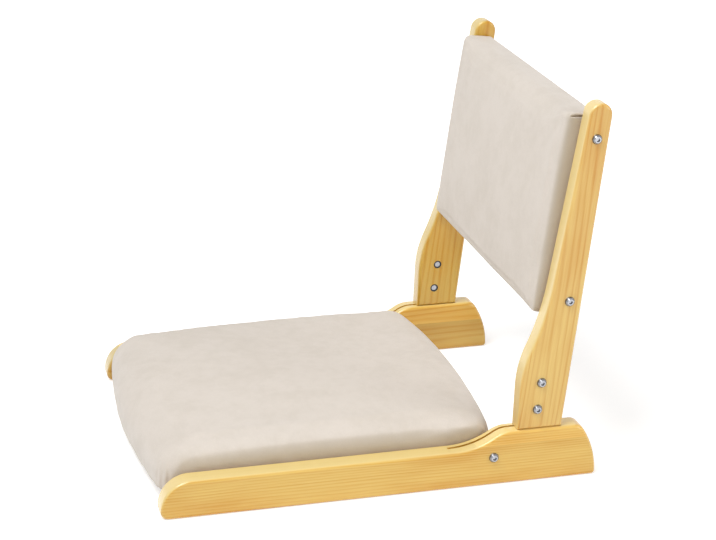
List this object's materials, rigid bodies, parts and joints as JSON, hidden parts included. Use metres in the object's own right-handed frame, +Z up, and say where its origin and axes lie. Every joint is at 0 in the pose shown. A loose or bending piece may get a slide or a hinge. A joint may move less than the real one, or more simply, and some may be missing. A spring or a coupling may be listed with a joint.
{
  "type": "floor_chair",
  "caption": "Folding floor chair: two pine rails, a padded back that folds forward on hidden steel plates, and a crowned seat pad",
  "frame": {"origin": "middle of the floor rectangle covered by the chair, on the floor", "axes": "+X to the sitter's left, +Y to the back, +Z up"},
  "size_m": [0.4116, 0.4808, 0.401],
  "materials": {
    "pine": "clear satin lacquer",
    "stretcher_wood": "planed",
    "plywood": "raw",
    "foam": "open-cell foam",
    "soft_cover": "matte suede-like",
    "panel": "matte suede-like",
    "dust_cloth": "non-woven",
    "bright_steel": "bright plated",
    "zinc_steel": "zinc plated",
    "plate_steel": "black painted"
  },
  "bodies": {
    "base": {"left_rail": "pine", "right_rail": "pine", "front_stretcher": "stretcher_wood", "rear_stretcher": "stretcher_wood", "seat_board": "plywood", "seat_screws": "zinc_steel", "seat_foam": "foam", "seat_cover": "soft_cover", "seat_dust_cover": "dust_cloth", "pivot_bolts": "bright_steel", "pivot_sleeve_nuts": "zinc_steel"},
    "back": {"left_post": "pine", "right_post": "pine", "left_hinge_plate": "plate_steel", "right_hinge_plate": "plate_steel", "post_bolts": "bright_steel", "post_insert_nuts": "zinc_steel", "back_board": "plywood", "back_foam": "foam", "back_cover": "soft_cover", "back_rear_panel": "panel", "pad_screws": "bright_steel"}
  },
  "joints": [
    {"name": "back_fold", "type": "hinge", "parent": "base", "child": "back", "pos_m": [0, 0.12356, 0.031], "axis": [1, 0, 0], "range_deg": [0, 91]}
  ]
}
